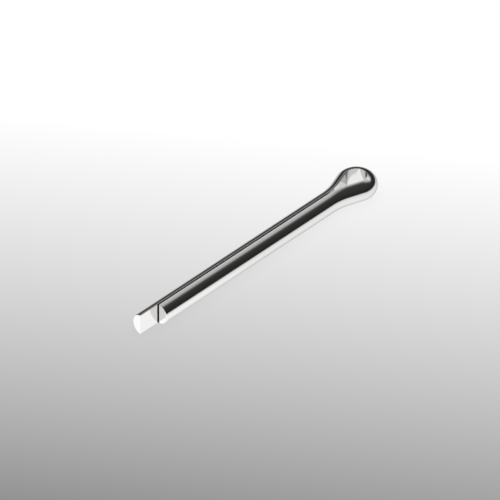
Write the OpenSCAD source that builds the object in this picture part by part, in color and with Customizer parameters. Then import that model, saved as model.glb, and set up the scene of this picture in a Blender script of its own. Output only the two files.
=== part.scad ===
// Split cotter pin, folded in one piece from half-round wire.
//
// The two legs lie flat against flat and make up a round shank. At the throat they part, run
// outwards as straight flanks and close in a round eye. One leg is longer than the other, so
// that a tool can catch it and bend it over once the pin is through its hole.
//
// The pin lies flat. X runs along the shank from the tips to the eye, Z is up, and the origin
// is on the shank's axis where the round shank ends and the flare of the throat begins.

/* [Shank] */
// Diameter of the closed shank
shank_d = 3.6; // [2.6:0.1:4.4]
// Nominal length, from the tip of the short leg to the throat
nominal_l = 40; // [20:1:80]
// How far the long leg reaches past the short one
leg_extra = 4; // [1:0.5:8]
// Gap left between the flats of the legs
leg_gap = 0.2; // [0.05:0.05:0.6]

/* [Eye] */
// Length of the eye, from the throat to its far end
eye_l = 8; // [7:0.25:14]
// Width of the eye over the wire
eye_w = 6.7; // [5.6:0.1:9]
// Radius on which the flats bend from the legs into the eye's flanks
flare_r = 11; // [4:0.5:16]

/* [Quality] */
// Facets round a full circle
facets = 96; // [48:12:180]

/* [Hidden] */
$fn = facets;

// Wire: the arc of its section belongs to the shank's circle, and its flat stands half the gap
// off the shank's axis.
shank_r = shank_d / 2;
flat_y = leg_gap / 2;
wire_t = shank_r - flat_y;

// Eye: the flat of the wire faces inwards, on a circle that the two flanks touch.
eye_r = eye_w / 2 - wire_t;
eye_to_throat = eye_l - eye_w / 2;

// Flank: the tangent to that circle from the throat's corner, which lies on the leg's flat.
corner_to_eye = norm([eye_to_throat, flat_y]);
flank_angle = asin(eye_r / corner_to_eye) - atan(flat_y / eye_to_throat);
flank_l = sqrt(pow(corner_to_eye, 2) - pow(eye_r, 2));

// Flare: an arc that rounds the throat's corner and takes up no more than most of the flank.
flare_used_r = min(flare_r, 0.95 * flank_l / tan(flank_angle / 2));
flare_tangent = flare_used_r * tan(flank_angle / 2);

// The throat's corner stands one tangent length past the origin, so the legs are that much
// shorter than the nominal length.
short_leg_l = nominal_l - flare_tangent;
long_leg_l = short_leg_l + leg_extra;

// A bend is swept this many degrees too far and then trimmed, so that it ends exactly on the
// plane where the next run starts.
trim_angle = 5;
// Edge of the trimming blocks, longer than any run.
trim_l = 4 * (nominal_l + leg_extra + eye_l + flare_used_r);
// Straight runs and the two sides lap over what they meet by a ten-millionth of a millimetre.
// It is far below any tolerance, and keeps rounding from leaving a crack at a joint.
seam = 0.0000001;

// Section of the wire: x outwards from the flat, y up.
module wire_section() {
    intersection() {
        translate([-flat_y, 0]) circle(r = shank_r);
        translate([0, -shank_r]) square([wire_t, 2 * shank_r]);
    }
}

// The three runs below start at the origin and head along +X, with the flat on the XZ plane
// and facing -Y. Each sets its children where it ends, heading the way it ends.

// Straight wire.
module straight_run(length) {
    translate([-seam, 0, 0])
        rotate([90, 0, 90])
            linear_extrude(height = length + 2 * seam)
                wire_section();
    translate([length, 0, 0]) children();
}

// Wire that curves to its round side, with the flat outside the bend.
module outward_bend(r, angle) {
    intersection() {
        translate([0, r, 0]) rotate([0, 0, -90])
            rotate_extrude(angle = angle + trim_angle)
                translate([r, 0]) mirror([1, 0]) wire_section();
        after_outward_bend(r, angle)
            translate([-trim_l, -trim_l / 2, -trim_l / 2]) cube(trim_l);
    }
    after_outward_bend(r, angle) children();
}

// Sets its children where an outward bend ends.
module after_outward_bend(r, angle) {
    translate([r * sin(angle), r * (1 - cos(angle)), 0]) rotate([0, 0, angle]) children();
}

// Wire that curves to its flat, with the flat inside the bend.
module inward_bend(r, angle) {
    translate([0, -r, 0]) rotate([0, 0, 90])
        rotate_extrude(angle = -angle) translate([r, 0]) wire_section();
}

// One side of the pin: a square-cut leg, the flare, the flank, and the eye's round end as far
// as the plane between the sides.
module side(leg_l) {
    intersection() {
        translate([-leg_l, flat_y, 0])
            straight_run(leg_l)
                outward_bend(flare_used_r, flank_angle)
                    straight_run(flank_l - flare_tangent)
                        inward_bend(eye_r, flank_angle + 90 + trim_angle);
        translate([-trim_l / 2, -seam, -trim_l / 2]) cube(trim_l);
    }
}

// The long leg is on +Y.
module cotter_pin() {
    color("silver")
        union() {
            side(long_leg_l);
            mirror([0, 1, 0]) side(short_leg_l);
        }
}

cotter_pin();
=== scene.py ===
# %% [markdown]
# # A split cotter pin in bright plated steel
# A cotter pin is one length of half-round wire. It is folded at its middle into a round eye, and
# its two legs then lie flat against flat, so together they make a round shank. This lesson gives
# the pin its finished surface and shows it on a pale table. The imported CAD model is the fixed
# frame: it is loaded first, and everything else is set against it.

import bpy
import numpy as np
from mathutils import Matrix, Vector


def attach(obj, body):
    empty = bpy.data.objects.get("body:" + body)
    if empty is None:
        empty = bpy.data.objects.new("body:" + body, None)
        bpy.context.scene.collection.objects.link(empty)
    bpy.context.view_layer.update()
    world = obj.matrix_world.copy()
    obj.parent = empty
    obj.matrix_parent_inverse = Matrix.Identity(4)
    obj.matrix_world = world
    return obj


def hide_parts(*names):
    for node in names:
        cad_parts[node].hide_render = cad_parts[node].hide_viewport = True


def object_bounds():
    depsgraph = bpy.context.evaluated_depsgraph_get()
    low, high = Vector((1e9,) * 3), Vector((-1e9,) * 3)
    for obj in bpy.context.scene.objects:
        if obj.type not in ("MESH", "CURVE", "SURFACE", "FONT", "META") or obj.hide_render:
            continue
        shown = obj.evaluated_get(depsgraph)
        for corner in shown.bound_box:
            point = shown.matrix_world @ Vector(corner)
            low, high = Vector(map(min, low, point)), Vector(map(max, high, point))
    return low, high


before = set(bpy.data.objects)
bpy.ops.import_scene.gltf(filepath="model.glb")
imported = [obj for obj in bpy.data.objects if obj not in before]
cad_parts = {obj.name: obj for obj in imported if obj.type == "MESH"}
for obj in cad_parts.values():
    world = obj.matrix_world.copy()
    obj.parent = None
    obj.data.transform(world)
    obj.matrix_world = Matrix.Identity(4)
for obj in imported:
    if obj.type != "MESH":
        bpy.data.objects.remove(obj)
cad_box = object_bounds()
print("CAD box, mm:", [round(1000 * c, 3) for corner in cad_box for c in corner])

# %% [markdown]
# ## Camera
# The picture is a product shot: the camera is so far away that lines that are parallel on the
# pin stay parallel in the picture. Blender has an orthographic camera for that, but a very long
# lens three metres away gives the same look and still behaves as a real camera. The camera is
# placed by two angles and a distance, as on a tripod, and pointed a little to the left of the
# pin and below it, because the pin doesn't sit in the middle of the frame.

# %% Camera
MM = 0.001
AZIMUTH = np.radians(-46.63)
ELEVATION = np.radians(38.20)
CAMERA_DISTANCE = 3.0
SENSOR_WIDTH = 36  # Blender takes the sensor and the lens in millimetres
PICTURE_WIDTH = 77.78 * MM  # how much the frame's 500 pixels take in at the pin
PIN_RIGHT_OF_CENTRE = 12.06 * MM
PIN_ABOVE_CENTRE = 7.33 * MM

# Unit vectors of the picture: towards the camera, to the right, and up.
to_camera = np.array([
    np.sin(AZIMUTH) * np.cos(ELEVATION),
    -np.cos(AZIMUTH) * np.cos(ELEVATION),
    np.sin(ELEVATION),
])
picture_right = np.array([np.cos(AZIMUTH), np.sin(AZIMUTH), 0.0])
picture_up = np.cross(to_camera, picture_right)
aim = -PIN_RIGHT_OF_CENTRE * picture_right - PIN_ABOVE_CENTRE * picture_up

camera = bpy.data.objects.new("camera", bpy.data.cameras.new("camera"))
bpy.context.scene.collection.objects.link(camera)
camera.data.sensor_width = SENSOR_WIDTH
camera.data.lens = SENSOR_WIDTH * CAMERA_DISTANCE / PICTURE_WIDTH
camera.data.clip_start = 0.1
camera.data.clip_end = 50
camera.location = aim + CAMERA_DISTANCE * to_camera
camera.rotation_euler = (np.pi / 2 - ELEVATION, 0, AZIMUTH)
bpy.context.scene.camera = camera
bpy.context.scene.view_settings.view_transform = "Standard"
print("lens, mm:", round(camera.data.lens))

# %% [markdown]
# ## The route of the wire
# The real pin is made on a machine that bends the wire round a peg. So the pin's shape is a
# profile carried along a route, and the route is made of straight runs and arcs only. It
# follows the middle of the wire's flat side: along the long leg, out through a gentle flare,
# round the eye, and back the same way along the short leg. A Bezier curve could be drawn by
# hand, but a route of arcs is what a bending machine makes, and it gives an exact direction
# at every point, which a mirror finish needs.

# %% Sizes of the pin
WIRE_R = 1.8 * MM  # radius of the round shank that the two legs make
HALF_GAP = 0.1 * MM  # from the plane between the legs to either flat
NOMINAL_L = 40 * MM
LONG_LEG_EXTRA = 4 * MM
EYE_L = 8 * MM
EYE_W = 6.7 * MM
FLARE_R = 11 * MM

wire_t = WIRE_R - HALF_GAP
eye_r = EYE_W / 2 - wire_t
eye_to_throat = EYE_L - EYE_W / 2
corner_to_eye = np.hypot(eye_to_throat, HALF_GAP)
flank_angle = np.arcsin(eye_r / corner_to_eye) - np.arctan(HALF_GAP / eye_to_throat)
flare_tangent = FLARE_R * np.tan(flank_angle / 2)
flank_l = np.sqrt(corner_to_eye**2 - eye_r**2) - flare_tangent
short_leg_l = NOMINAL_L - flare_tangent
long_leg_l = short_leg_l + LONG_LEG_EXTRA
print("flank angle, degrees:", round(float(np.degrees(flank_angle)), 2))

# %% Route along the flat side of the wire
run_l = np.array([
    long_leg_l,
    FLARE_R * flank_angle,
    flank_l,
    eye_r * (np.pi + 2 * flank_angle),
    flank_l,
    FLARE_R * flank_angle,
    short_leg_l,
])
run_turn = np.array([0, flank_angle, 0, -np.pi - 2 * flank_angle, 0, flank_angle, 0])
run_rows = np.array([48, 28, 6, 132, 6, 28, 44])  # rows of faces along each run
run_start = np.concatenate([[0], np.cumsum(run_l)])
heading_at = np.concatenate([[0], np.cumsum(run_turn)])


def chord(length, heading, turn):
    """End of a run that starts at the origin, as x and y. Its chord is its length times the
    sine of half its turn over half its turn, and points half the turn past its first heading."""
    reach = length * np.sinc(turn / 2 / np.pi)
    return reach * np.cos(heading + turn / 2), reach * np.sin(heading + turn / 2)


run_dx, run_dy = chord(run_l, heading_at[:-1], run_turn)
corner_x = -long_leg_l + np.concatenate([[0], np.cumsum(run_dx)])
corner_y = HALF_GAP + np.concatenate([[0], np.cumsum(run_dy)])


def route(s):
    """Place (x, y) and heading of the route at the distances s along it. Each distance falls
    in one run: the place is that run's start plus the chord of the part of it that is done."""
    run = np.clip(np.searchsorted(run_start, s, side="right") - 1, 0, len(run_l) - 1)
    done = s - run_start[run]
    turn = run_turn[run] * done / run_l[run]
    dx, dy = chord(done, heading_at[run], turn)
    return corner_x[run] + dx, corner_y[run] + dy, heading_at[run] + turn


print("route, mm:", round(1000 * run_start[-1], 2))
print("its end, mm:", round(1000 * corner_x[-1], 3), round(1000 * corner_y[-1], 3))

# %% [markdown]
# ## The section of the wire
# The wire is rolled half-round, so its section is a D: one flat side and one round side, that
# meet in two corners. On the real wire those corners aren't knife edges. A tiny round on them
# costs a few rows of faces, and it catches the thin line of light that shows where one surface
# ends and the next begins. A Bevel modifier could cut it, but an outline with a formula also
# tells which way the surface faces at each point.

# %% Section of the wire
CORNER_R = 0.03 * MM
ROUND_STEPS = 96
CORNER_STEPS = 7
FLAT_STEPS = 8


def section():
    """Outline of the D as points (out, up) and unit normals, anticlockwise, where out points
    away from the flat. It joins the large arc, a corner arc, the flat and the other corner arc.
    A corner arc touches the flat, and touches the large arc from inside."""
    corner_up = np.sqrt((WIRE_R - CORNER_R) ** 2 - (CORNER_R + HALF_GAP) ** 2)
    meet = np.arctan2(corner_up, CORNER_R + HALF_GAP)
    big = np.linspace(-meet, meet, ROUND_STEPS, endpoint=False)
    top = np.linspace(meet, np.pi, CORNER_STEPS, endpoint=False)
    flat = np.linspace(1, -1, FLAT_STEPS, endpoint=False)
    low = np.linspace(np.pi, 2 * np.pi - meet, CORNER_STEPS, endpoint=False)
    angle = np.concatenate([big, top, np.full(FLAT_STEPS, np.pi), low])
    normal = np.stack([np.cos(angle), np.sin(angle)], axis=1)
    radius = np.full(len(angle), CORNER_R)
    radius[:ROUND_STEPS] = WIRE_R
    centre = np.concatenate([
        np.tile([-HALF_GAP, 0], (ROUND_STEPS, 1)),
        np.tile([CORNER_R, corner_up], (CORNER_STEPS, 1)),
        np.stack([np.full(FLAT_STEPS, CORNER_R), flat * corner_up], axis=1),
        np.tile([CORNER_R, -corner_up], (CORNER_STEPS, 1)),
    ])
    return centre + radius[:, None] * normal, normal


outline, outline_normal = section()
print("section, mm:", np.round(1000 * np.ptp(outline, axis=0), 3), "points:", len(outline))

# %% [markdown]
# ## The body of the pin
# The D is carried along the route, one ring of points for each row. At either tip the wire was
# cut by a shear, which leaves a flat end. Its edge is nearly sharp along the flat side and at
# the two corners, and most rounded at the back of the round side, where the shear rolls the
# metal over as it bites. The same rings make it: they shrink by the edge's round, which swells
# and fades along the round side, and then close on the middle of the end, so the mesh is one
# closed skin. A Bevel modifier could round the edge too, but it would have one width all along
# it. Because the normals are known from the formulas, they are handed to Blender as well: a
# mirror shows the smallest ripple, and normals averaged from the faces would ripple where flats
# meet rounds.

# %% Rows along the route
END_EDGE_R = 0.02 * MM  # round on the edge of a cut end, along the flat and at the corners
ROLLED_EDGE_R = 0.28 * MM  # and at the back of the round side
BODY_START = 1.5 * ROLLED_EDGE_R  # the plain rows begin this far from the cut
END_EDGE_STEPS = 9
END_RINGS = np.array([0.35, 0.7, 0.92])  # rings inside an end face, as shares of its size

# The round's radius at each point of the outline: it swells as a squared sine.
round_share = np.arange(ROUND_STEPS) / ROUND_STEPS
edge_r = np.full(len(outline), END_EDGE_R)
edge_r[:ROUND_STEPS] += (ROLLED_EDGE_R - END_EDGE_R) * np.sin(np.pi * round_share) ** 2

edge = np.linspace(np.pi / 2, 0, END_EDGE_STEPS)
wire_l = run_start[-1]
knots = np.concatenate([[BODY_START], run_start[1:-1], [wire_l - BODY_START]])
body_rows = np.concatenate([
    np.linspace(a, b, n, endpoint=False) for a, b, n in zip(knots[:-1], knots[1:], run_rows)
] + [knots[-1:]])
cap = len(END_RINGS)
end_rows = cap + END_EDGE_STEPS
plain = np.zeros(len(body_rows))
row_s = np.concatenate([np.zeros(end_rows), body_rows, np.full(end_rows, wire_l)])
# Two shares of the edge's round for each row: its shift along the route, and its inset.
row_shift = np.concatenate([
    np.zeros(cap), 1 - np.sin(edge), plain, np.sin(edge[::-1]) - 1, np.zeros(cap),
])
row_inset = np.concatenate([
    np.ones(cap), 1 - np.cos(edge), plain, 1 - np.cos(edge[::-1]), np.ones(cap),
])
row_scale = np.concatenate([END_RINGS, np.ones(len(row_s) - 2 * cap), END_RINGS[::-1]])
# The angle by which a row's normals lean towards the route's direction.
row_tilt = np.concatenate([
    np.full(cap, -np.pi / 2), -edge, plain, edge[::-1], np.full(cap, np.pi / 2),
])
print("rows:", len(row_s), "body rows:", len(body_rows))


# %% Skin of the pin
def skin():
    """Points and normals of the pin, row by row. A point is the route's place, plus the
    outline's distance out along the route's left, plus its height. On the rows of an end it is
    shifted along the route and inset by the row's share of the edge's round. A normal is the
    outline's, leant towards the route's direction by the row's tilt."""
    x, y, heading = route(row_s[:, None] + row_shift[:, None] * edge_r)
    middle = np.array([wire_t / 2, 0])
    ring = outline - (row_inset[:, None] * edge_r)[..., None] * outline_normal
    ring = middle + row_scale[:, None, None] * (ring - middle)
    left = np.stack([-np.sin(heading), np.cos(heading)], axis=-1)
    ahead = np.stack([np.cos(heading), np.sin(heading)], axis=-1)
    place = np.stack([x, y], axis=-1)
    points = np.concatenate([place + ring[..., :1] * left, ring[..., 1:]], axis=2)
    lean, side = np.sin(row_tilt)[:, None, None], np.cos(row_tilt)[:, None, None]
    flat_part = side * outline_normal[None, :, :1] * left + lean * ahead
    up_part = side * outline_normal[None, :, 1:]
    return points, np.concatenate([flat_part, up_part], axis=2)


def poles():
    """Middle points and normals of the two end faces."""
    x, y, heading = route(np.array([0, wire_l]))
    points = np.stack([
        x - wire_t / 2 * np.sin(heading),
        y + wire_t / 2 * np.cos(heading),
        np.zeros(2),
    ], axis=1)
    out = np.stack([np.cos(heading), np.sin(heading), np.zeros(2)], axis=1)
    return points, out * np.array([[-1], [1]])


skin_points, skin_normals = skin()
pole_points, pole_normals = poles()
print("points on the skin:", skin_points.shape[0] * skin_points.shape[1])

# %% Mesh of the pin
rows, around = skin_points.shape[:2]
# Each face of the grid by its row and column, and the two fans that close the ends.
r, c = np.meshgrid(np.arange(rows - 1), np.arange(around), indexing="ij")
next_c = (c + 1) % around
this_row, next_row = r * around, (r + 1) * around
quads = np.stack([this_row + c, this_row + next_c, next_row + next_c, next_row + c], axis=-1)
ring0 = np.arange(around)
ring1 = (ring0 + 1) % around
first_fan = np.stack([np.full(around, rows * around), ring1, ring0], axis=1)
last = (rows - 1) * around
last_fan = np.stack([np.full(around, rows * around + 1), last + ring0, last + ring1], axis=1)

mesh = bpy.data.meshes.new("pin_skin")
mesh.from_pydata(
    np.concatenate([skin_points.reshape(-1, 3), pole_points]).tolist(),
    [],
    quads.reshape(-1, 4).tolist() + first_fan.tolist() + last_fan.tolist(),
)
mesh.polygons.foreach_set("use_smooth", np.ones(len(mesh.polygons), bool))
pin = bpy.data.objects.new("pin_skin", mesh)
bpy.context.scene.collection.objects.link(pin)
print("faces:", len(mesh.polygons), "clean:", not mesh.validate())

# %% [markdown]
# ## A map that follows the wire
# Drawing lines and polish run along the wire and turn with it round the eye, so their pattern
# needs coordinates that do the same. The mesh is already a grid of distance along the wire by
# distance round it, so those two lengths, in centimetres, are its UV map: nothing is stretched,
# and a pattern's scale can be given as a real size.

# %% UV map and normals
PER_UV = 10 * MM  # one unit of the map is this long on the metal

step = np.linalg.norm(np.roll(outline, -1, axis=0) - outline, axis=1)
around_l = np.concatenate([[0], np.cumsum(step)])
u_of_row = (row_s + row_shift * ROLLED_EDGE_R) / PER_UV
v_of_column = around_l / PER_UV
quad_u = u_of_row[np.stack([r, r, r + 1, r + 1], axis=-1)]
quad_v = v_of_column[np.stack([c, c + 1, c + 1, c], axis=-1)]
fan_v = np.stack([v_of_column[:-1], v_of_column[1:], v_of_column[:-1]], axis=1)
fan_u = np.broadcast_to(u_of_row[[0, -1]][:, None, None], (2, *fan_v.shape))
uv = np.concatenate([
    np.stack([quad_u, quad_v], axis=-1).reshape(-1, 2),
    np.stack([fan_u, np.stack([fan_v, fan_v])], axis=-1).reshape(-1, 2),
])
mesh.uv_layers.new(name="along_the_wire")
mesh.uv_layers[0].data.foreach_set("uv", uv.astype(np.float32).ravel())
mesh.normals_split_custom_set_from_vertices(
    np.concatenate([skin_normals.reshape(-1, 3), pole_normals]).tolist()
)
print("round the wire, mm:", round(1000 * around_l[-1], 2))

# %% [markdown]
# ## Helpers for materials
# Colours are written as the hex values that a colour picker gives. Blender computes in linear
# light, so one function converts them. A second one adds a node, sets it and links it in one
# line, and a third starts an empty material.


# %% Helpers for materials
def hex_to_linear(code):
    """Linear RGBA of an sRGB hex colour. Each value is divided by 12.92 where it is low, and
    otherwise it is (value + 0.055) / 1.055 to the power 2.4."""
    srgb = np.array([int(code[i:i + 2], 16) for i in (1, 3, 5)]) / 255
    linear = np.where(srgb <= 0.04045, srgb / 12.92, ((srgb + 0.055) / 1.055) ** 2.4)
    return (*linear.tolist(), 1.0)


def add(tree, kind, inputs, **settings):
    """Adds a node of a kind, gives it its settings, and fills its inputs, each with an output
    to link or with a value."""
    node = tree.nodes.new("ShaderNode" + kind)
    for name, value in settings.items():
        setattr(node, name, value)
    for name, value in inputs.items():
        if isinstance(value, bpy.types.NodeSocket):
            tree.links.new(value, node.inputs[name])
        else:
            node.inputs[name].default_value = value
    return node


def new_material(name):
    """An empty material: its tree, and its output node."""
    material = bpy.data.materials.new(name)
    material.use_nodes = True
    material.node_tree.nodes.clear()
    return material, material.node_tree, material.node_tree.nodes.new("ShaderNodeOutputMaterial")


# %% [markdown]
# ## Bright plated steel
# The pin is steel wire drawn through a die, plated and polished until it is a mirror. A mirror
# has hardly any colour of its own, only a trace of warmth: what shows is the room in it.
# Metallic is 1 and the roughness is low. The plating is a little less bright where it is seen
# edge-on, which gives the pin its thin grey rim against a pale table: that is the Specular Tint
# of a metal. The die leaves hair-fine lines along the wire, and polishing leaves a faint haze.
# Both are noise that is stretched along the wire, and they change only the roughness and the
# height.

# %% Bright plated steel
LINE_SPACING = 0.12 * MM  # real die lines are 0.01 to 0.05 mm apart: these are coarser, to show
LINE_LENGTH = 9 * MM
LINE_DEPTH = 0.0004 * MM
HAZE_SIZE = 2.5 * MM
HAZE_STRETCH = 4  # the haze is this many times as long as it is wide
LINE_SHARE = 0.4  # share of the lines in the roughness, where the haze has the rest
POLISHED = (0.06, 0.16)  # roughness of the brightest and the dullest places
NOISE_RANGE = (0.3, 0.7)  # nearly all values of a noise lie between these

plated, tree, output = new_material("bright_plated_steel_polished")
coordinates = add(tree, "TexCoord", {})
line_map = add(tree, "Mapping", {
    "Vector": coordinates.outputs["UV"],
    "Scale": (PER_UV / LINE_LENGTH, PER_UV / LINE_SPACING, 1),
})
lines = add(tree, "TexNoise", {
    "Vector": line_map.outputs[0], "Scale": 1, "Detail": 3, "Roughness": 0.6,
})
haze_map = add(tree, "Mapping", {
    "Vector": coordinates.outputs["UV"],
    "Scale": (PER_UV / HAZE_SIZE / HAZE_STRETCH, PER_UV / HAZE_SIZE, 1),
})
haze = add(tree, "TexNoise", {"Vector": haze_map.outputs[0], "Scale": 1, "Detail": 4})
marks = add(tree, "Mix", {
    "Factor": LINE_SHARE, "A": haze.outputs["Fac"], "B": lines.outputs["Fac"],
}, data_type="FLOAT")
roughness = add(tree, "MapRange", {
    "Value": marks.outputs[0],
    "From Min": NOISE_RANGE[0], "From Max": NOISE_RANGE[1],
    "To Min": POLISHED[0], "To Max": POLISHED[1],
})
relief = add(tree, "Bump", {
    "Height": lines.outputs["Fac"], "Strength": 0.5, "Distance": LINE_DEPTH,
})
metal = add(tree, "BsdfPrincipled", {
    "Base Color": hex_to_linear("#F6F5F4"),
    "Metallic": 1.0,
    "Roughness": roughness.outputs[0],
    "Specular Tint": hex_to_linear("#C4C4C4"),
    "Normal": relief.outputs[0],
})
tree.links.new(metal.outputs[0], output.inputs["Surface"])
print(plated.name, "nodes:", len(tree.nodes))

# %% [markdown]
# ## Sheared ends
# The end faces are flat but not polished, because nothing draws or rubs them after the cut. They
# could keep the plated metal with more roughness, but its lines run along the wire and would
# show as streaks here. So they have a metal of their own with a satin finish, whose fine grain
# looks the same in all directions.

# %% Sheared ends
GRAIN_SIZE = 0.15 * MM
GRAIN_DEPTH = 0.001 * MM
SATIN = (0.08, 0.16)  # roughness of the brightest and the dullest places

sheared, tree, output = new_material("sheared_steel_satin")
coordinates = add(tree, "TexCoord", {})
grain = add(tree, "TexNoise", {
    "Vector": coordinates.outputs["Object"], "Scale": 1 / GRAIN_SIZE, "Detail": 3,
})
roughness = add(tree, "MapRange", {
    "Value": grain.outputs["Fac"],
    "From Min": NOISE_RANGE[0], "From Max": NOISE_RANGE[1],
    "To Min": SATIN[0], "To Max": SATIN[1],
})
relief = add(tree, "Bump", {
    "Height": grain.outputs["Fac"], "Strength": 0.5, "Distance": GRAIN_DEPTH,
})
metal = add(tree, "BsdfPrincipled", {
    "Base Color": hex_to_linear("#FEFDFC"),
    "Metallic": 1.0,
    "Roughness": roughness.outputs[0],
    "Normal": relief.outputs[0],
})
tree.links.new(metal.outputs[0], output.inputs["Surface"])
print(sheared.name, "nodes:", len(tree.nodes))

# %% [markdown]
# ## Dress the pin
# A mesh can hold several materials, and each face has the number of its own. The faces of the
# end rings get the satin metal and all others get the mirror. The finished skin then takes the
# place of the CAD model's plain one. The skin could be left beside it, but two surfaces in one
# place would flicker.

# %% Dress the pin
mesh.materials.append(plated)
mesh.materials.append(sheared)
quad_end = (r < cap) | (r >= rows - 1 - cap)
is_end = np.concatenate([quad_end.ravel(), np.ones(2 * around, bool)])
mesh.polygons.foreach_set("material_index", is_end.astype(np.int32))
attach(pin, "root")
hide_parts("cotter_pin")
print("faces on the cut ends:", int(is_end.sum()))

# %% [markdown]
# ## Table
# The pin lies on a plain white table, a flat grid that is so large that no view reaches its
# edge. It is white behind the pin and falls off to a soft grey in the foreground: a painted
# fall-off of light, as under a light from behind. A lamp could make that fall-off, but the same
# lamp would light the pin and show in the metal. So most of the table's brightness is painted
# light that it gives off by itself: a slope that rises away from the camera. The rest is lit, so
# the pin keeps a light shadow where it touches.

# %% Table
TABLE_HALF = 12.0  # metres from the middle to each side
TABLE_CELLS = 8

table_z = cad_box[0].z
grid = np.linspace(-TABLE_HALF, TABLE_HALF, TABLE_CELLS + 1)
gx, gy = np.meshgrid(grid, grid, indexing="ij")
table_points = np.stack([gx, gy, np.full_like(gx, table_z)], axis=-1).reshape(-1, 3)
i, j = np.meshgrid(np.arange(TABLE_CELLS), np.arange(TABLE_CELLS), indexing="ij")
here = i * len(grid) + j
there = here + len(grid)
table_faces = np.stack([here, there, there + 1, here + 1], axis=-1)
table_mesh = bpy.data.meshes.new("table")
table_mesh.from_pydata(table_points.tolist(), [], table_faces.reshape(-1, 4).tolist())
table = bpy.data.objects.new("table", table_mesh)
bpy.context.scene.collection.objects.link(table)
print("table at, mm:", round(1000 * table_z, 3))

# %% Table as the camera sees it
# Painted light: the table glows with a slope of brightness, a painted fall-off from behind.
AT_PIN = 0.865  # brightness of the table under the pin, where 1 is white
PER_METRE_AWAY = 7.38  # how much brighter it gets with each metre away from the camera
PER_METRE_RIGHT = 1.08  # and with each metre to the right
DARKEST = 0.28  # and nearer to the camera it never gets darker than this

glowing_table, tree, output = new_material("table_with_painted_light")
spot = add(tree, "TexCoord", {}).outputs["Object"]
away = -np.array([to_camera[0], to_camera[1], 0]) / np.hypot(to_camera[0], to_camera[1])
slope = PER_METRE_AWAY * away + PER_METRE_RIGHT * picture_right
rise = add(tree, "VectorMath", {0: spot, 1: slope.tolist()}, operation="DOT_PRODUCT")
level = add(tree, "Math", {0: rise.outputs["Value"], 1: AT_PIN}, operation="ADD")
fall = add(tree, "Clamp", {"Value": level.outputs[0], "Min": DARKEST, "Max": 1.0})
print("white from here on, mm behind the pin:", round((1 - AT_PIN) / PER_METRE_AWAY / MM, 1))

# %% [markdown]
# ## Table as the metal mirrors it
# Polished metal needs a white table close to it, on all its sides, or it looks dull and grey.
# In a studio, white card lies round such a piece, just out of the picture. Here metal and glass
# see a pool of light where the camera sees the slope: white round the pin, a little less at the
# end with the eye, and fading with distance, which gives the soft horizon in the shank.

# %% Pool of light
POOL_MARGIN = 2 * MM  # the mirrored table is fully white this far round the pin
POOL_REACH = 42 * MM  # and this much further out it is down to a half
POOL_EYE_END = 0.91  # its level under the half of the pin with the eye
EYE_END_FROM = 0.7  # it changes to that level from this share of the legs' length
EYE_END_TO = 0.3  # to this one, counted from the throat

pin_middle = [(cad_box[0].x + cad_box[1].x) / 2, 0, 0]
pin_reach = [(cad_box[1].x - cad_box[0].x) / 2 + POOL_MARGIN, WIRE_R + POOL_MARGIN, 1.0]
offset = add(tree, "VectorMath", {0: spot, 1: pin_middle}, operation="SUBTRACT")
offset = add(tree, "VectorMath", {0: offset.outputs[0]}, operation="ABSOLUTE")
offset = add(tree, "VectorMath", {0: offset.outputs[0], 1: pin_reach}, operation="SUBTRACT")
offset = add(tree, "VectorMath", {0: offset.outputs[0], 1: (0, 0, 0)}, operation="MAXIMUM")
distance = add(tree, "VectorMath", {0: offset.outputs[0]}, operation="LENGTH")
reach = add(tree, "Math", {0: distance.outputs["Value"], 1: POOL_REACH}, operation="ADD")
pool = add(tree, "Math", {0: POOL_REACH, 1: reach.outputs[0]}, operation="DIVIDE")
place = add(tree, "SeparateXYZ", {0: spot})
along = add(tree, "MapRange", {
    "Value": place.outputs["X"],
    "From Min": EYE_END_FROM * cad_box[0].x, "From Max": EYE_END_TO * cad_box[0].x,
    "To Min": 1.0, "To Max": POOL_EYE_END,
}, interpolation_type="SMOOTHSTEP")
pool = add(tree, "Math", {0: pool.outputs[0], 1: along.outputs[0]}, operation="MULTIPLY")
print("pool's white part, mm:", [round(2000 * half, 1) for half in pin_reach[:2]])

# %% [markdown]
# ## Shadow in the seam
# The seam between the legs is so narrow that hardly any light reaches the table below it, and
# on the real pin it is a black line, from above and from the tips. A table that glows by itself
# doesn't know that. A finer way would be to light the table with lamps only, but then the seam
# takes many bounces and turns grainy. So that strip of the table is darkened, for the camera
# and for the metal: its light is the share of the room that shows through the seam. Full light
# comes back past the seam's two sides, past the short leg's tip, and in the throat.

# %% Shadow in the seam
THROAT_FADE = 2.5 * MM  # the shadow reaches this far past the flare's start

aside = add(tree, "Math", {0: place.outputs["Y"]}, operation="ABSOLUTE")
ways_out = (  # a coordinate, where it is still dark there, and where the light is full
    (aside.outputs[0], HALF_GAP, 2 * HALF_GAP),
    (place.outputs["X"], -short_leg_l, -short_leg_l - HALF_GAP),
    (place.outputs["X"], 0.0, THROAT_FADE),
)
seam_light = HALF_GAP / (2 * WIRE_R)
print("light in the seam:", round(seam_light, 3))
for value, dark_at, light_at in ways_out:
    out = add(tree, "MapRange", {"Value": value, "From Min": dark_at, "From Max": light_at})
    lighter = add(tree, "Math", {0: seam_light, 1: out.outputs[0]}, operation="MAXIMUM")
    seam_light = lighter.outputs[0]
pool = add(tree, "Math", {0: pool.outputs[0], 1: seam_light}, operation="MULTIPLY")
fall = add(tree, "Math", {0: fall.outputs[0], 1: seam_light}, operation="MULTIPLY")

# %% [markdown]
# ## Table's material
# The two drawn brightnesses meet here. The Light Path node tells what kind of ray asks: the
# camera gets the slope, and metal and glass get the pool. Both see a table that glows by
# itself, except for the small share that the camera sees lit, where the shadow shows. Every
# other ray sees a plain matt table, so the glow lights nothing. Where light goes from face to
# face, as in the eye and in the gap between the legs, each further bounce shows less of the pool.

# %% Table's material
TABLE_WHITE = "#FFFFFF"
LIT_SHARE = 0.07  # the part of the table's brightness that a shadow can take away
LOST_PER_BOUNCE = 0.25  # the part of the pool that each bounce after the first takes away

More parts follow.
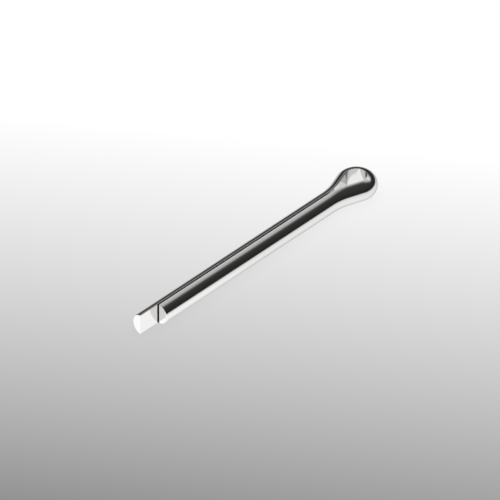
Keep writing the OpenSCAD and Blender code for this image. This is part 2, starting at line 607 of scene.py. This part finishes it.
path = add(tree, "LightPath", {})
kept = add(tree, "Math", {
    0: path.outputs["Glossy Depth"], 1: -LOST_PER_BOUNCE, 2: 1 + LOST_PER_BOUNCE,
}, operation="MULTIPLY_ADD", use_clamp=True)
pool = add(tree, "Math", {0: pool.outputs[0], 1: kept.outputs[0]}, operation="MULTIPLY")
shade = add(tree, "Mix", {
    "Factor": path.outputs["Is Camera Ray"], "A": pool.outputs[0], "B": fall.outputs[0],
}, data_type="FLOAT")
to_camera_share = add(tree, "Math", {
    0: path.outputs["Is Camera Ray"], 1: 1 - LIT_SHARE,
}, operation="MULTIPLY")
to_metal = add(tree, "Math", {
    0: path.outputs["Is Glossy Ray"], 1: path.outputs["Is Transmission Ray"],
}, operation="MAXIMUM")
own_share = add(tree, "Math", {
    0: to_camera_share.outputs[0], 1: to_metal.outputs[0],
}, operation="MAXIMUM")
colour = add(tree, "VectorMath", {
    0: hex_to_linear(TABLE_WHITE)[:3], "Scale": shade.outputs[0],
}, operation="SCALE")
lit = add(tree, "BsdfDiffuse", {"Color": colour.outputs[0]})
own = add(tree, "Emission", {"Color": colour.outputs[0], "Strength": 1.0})
both = add(tree, "MixShader", {0: own_share.outputs[0], 1: lit.outputs[0], 2: own.outputs[0]})
tree.links.new(both.outputs[0], output.inputs["Surface"])
table_mesh.materials.append(glowing_table)
print(glowing_table.name, "nodes:", len(tree.nodes))

# %% [markdown]
# ## Room and light
# What makes polished metal look polished is the contrast in what it mirrors: a white table
# below, a dark room above, and soft light panels. The main panel hangs behind the pin and to
# its right, half-way up, and shows as the light stripe along the top of the near leg. A dim
# window beside it, lower down, draws the thin line on the far leg, and a third light stands on
# the other side, for whoever walks round the pin. They could be glowing cards, but a card gets
# in the way of the camera from some sides. Here they are drawn in the world by direction, each
# as the product of two ramps: one over the height above the horizon, one over the compass.

# %% Lights by height and compass
WALLS = [(0, "#212121"), (90, "#393939")]  # degrees above the horizon, and colour
# Each light: its brightness by degrees above the horizon, and by degrees anticlockwise from the
# X axis, seen from above.
PANEL_HEIGHTS = [(31, 0.0), (42, 0.82), (50, 0.55), (57, 0.4), (64, 0.05), (80, 0.0)]
PANEL_COMPASS = [
    (-36, 0.0), (-23, 0.08), (-8, 0.64), (3, 1.0), (22, 0.93), (42, 0.93), (62, 0.0),
]
WINDOW_HEIGHTS = [(15, 0.0), (22, 0.2), (26, 0.2), (32, 0.0)]
WINDOW_COMPASS = [(32, 0.0), (48, 1.0), (54, 1.0), (72, 0.0)]
BACK_HEIGHTS = [(28, 0.0), (40, 0.6), (52, 0.5), (70, 0.0)]
BACK_COMPASS = [
    (-180, 0.5), (-165, 1.0), (-145, 0.9), (-125, 0.0),
    (75, 0.0), (90, 1.0), (150, 1.0), (180, 0.5),
]
lights = (
    (PANEL_HEIGHTS, PANEL_COMPASS), (WINDOW_HEIGHTS, WINDOW_COMPASS), (BACK_HEIGHTS, BACK_COMPASS),
)
print("panel:", PANEL_HEIGHTS[0][0], "to", PANEL_HEIGHTS[-2][0], "degrees up")

# %% Room
world = bpy.data.worlds.new("studio")
bpy.context.scene.world = world
world.use_nodes = True
tree = world.node_tree
tree.nodes.clear()
direction = add(tree, "SeparateXYZ", {0: add(tree, "TexCoord", {}).outputs["Generated"]})
compass = add(tree, "Math", {
    0: direction.outputs["Y"], 1: direction.outputs["X"],
}, operation="ARCTAN2")
turn = add(tree, "MapRange", {"Value": compass.outputs[0], "From Min": -np.pi, "From Max": np.pi})
walls = add(tree, "ValToRGB", {"Fac": direction.outputs["Z"]})
ramps = [(walls, [(np.sin(np.radians(h)), hex_to_linear(c)) for h, c in WALLS])]
light = walls.outputs[0]
for heights, bearings in lights:
    band = add(tree, "ValToRGB", {"Fac": direction.outputs["Z"]})
    ramps.append((band, [(np.sin(np.radians(h)), (v, v, v, 1)) for h, v in heights]))
    sector = add(tree, "ValToRGB", {"Fac": turn.outputs[0]})
    ramps.append((sector, [(0.5 + a / 360, (v, v, v, 1)) for a, v in bearings]))
    patch = add(tree, "Mix", {
        "Factor": 1.0, "A": band.outputs[0], "B": sector.outputs[0],
    }, data_type="RGBA", blend_type="MULTIPLY")
    lighter = add(tree, "Mix", {
        "Factor": 1.0, "A": light, "B": patch.outputs["Result"],
    }, data_type="RGBA", blend_type="ADD")
    light = lighter.outputs["Result"]
background = add(tree, "Background", {"Color": light, "Strength": 1.0})
output = tree.nodes.new("ShaderNodeOutputWorld")
tree.links.new(background.outputs[0], output.inputs["Surface"])

# %% Stops of the ramps
for node, stops in ramps:
    elements = node.color_ramp.elements
    while len(elements) < len(stops):
        elements.new(1.0)
    for element, (position, colour) in zip(elements, stops):
        element.position = position
        element.color = colour
print("ramps:", len(ramps), "with stops:", sum(len(stops) for node, stops in ramps))

# %% [markdown]
# ## Overhead lamp
# A little light from above gives the pin its soft shadow on the table. A sun or a small lamp
# would draw a shadow with a hard edge, and the metal would show it as a bright dot. A large
# square lamp is soft, and it is kept out of the reflections, where the drawn room is enough.

# %% Overhead lamp
LAMP_HEIGHT = 1.0
LAMP_SIZE = 1.6
LAMP_WATTS = 18  # at this power a matt white surface under it is just white

lamp = bpy.data.objects.new("overhead_lamp", bpy.data.lights.new("overhead_lamp", "AREA"))
bpy.context.scene.collection.objects.link(lamp)
lamp.location = (0, 0, LAMP_HEIGHT)
lamp.data.size = LAMP_SIZE
lamp.data.energy = LAMP_WATTS
lamp.visible_glossy = False
print("lamp:", LAMP_WATTS, "W,", LAMP_SIZE, "m wide,", LAMP_HEIGHT, "m up")
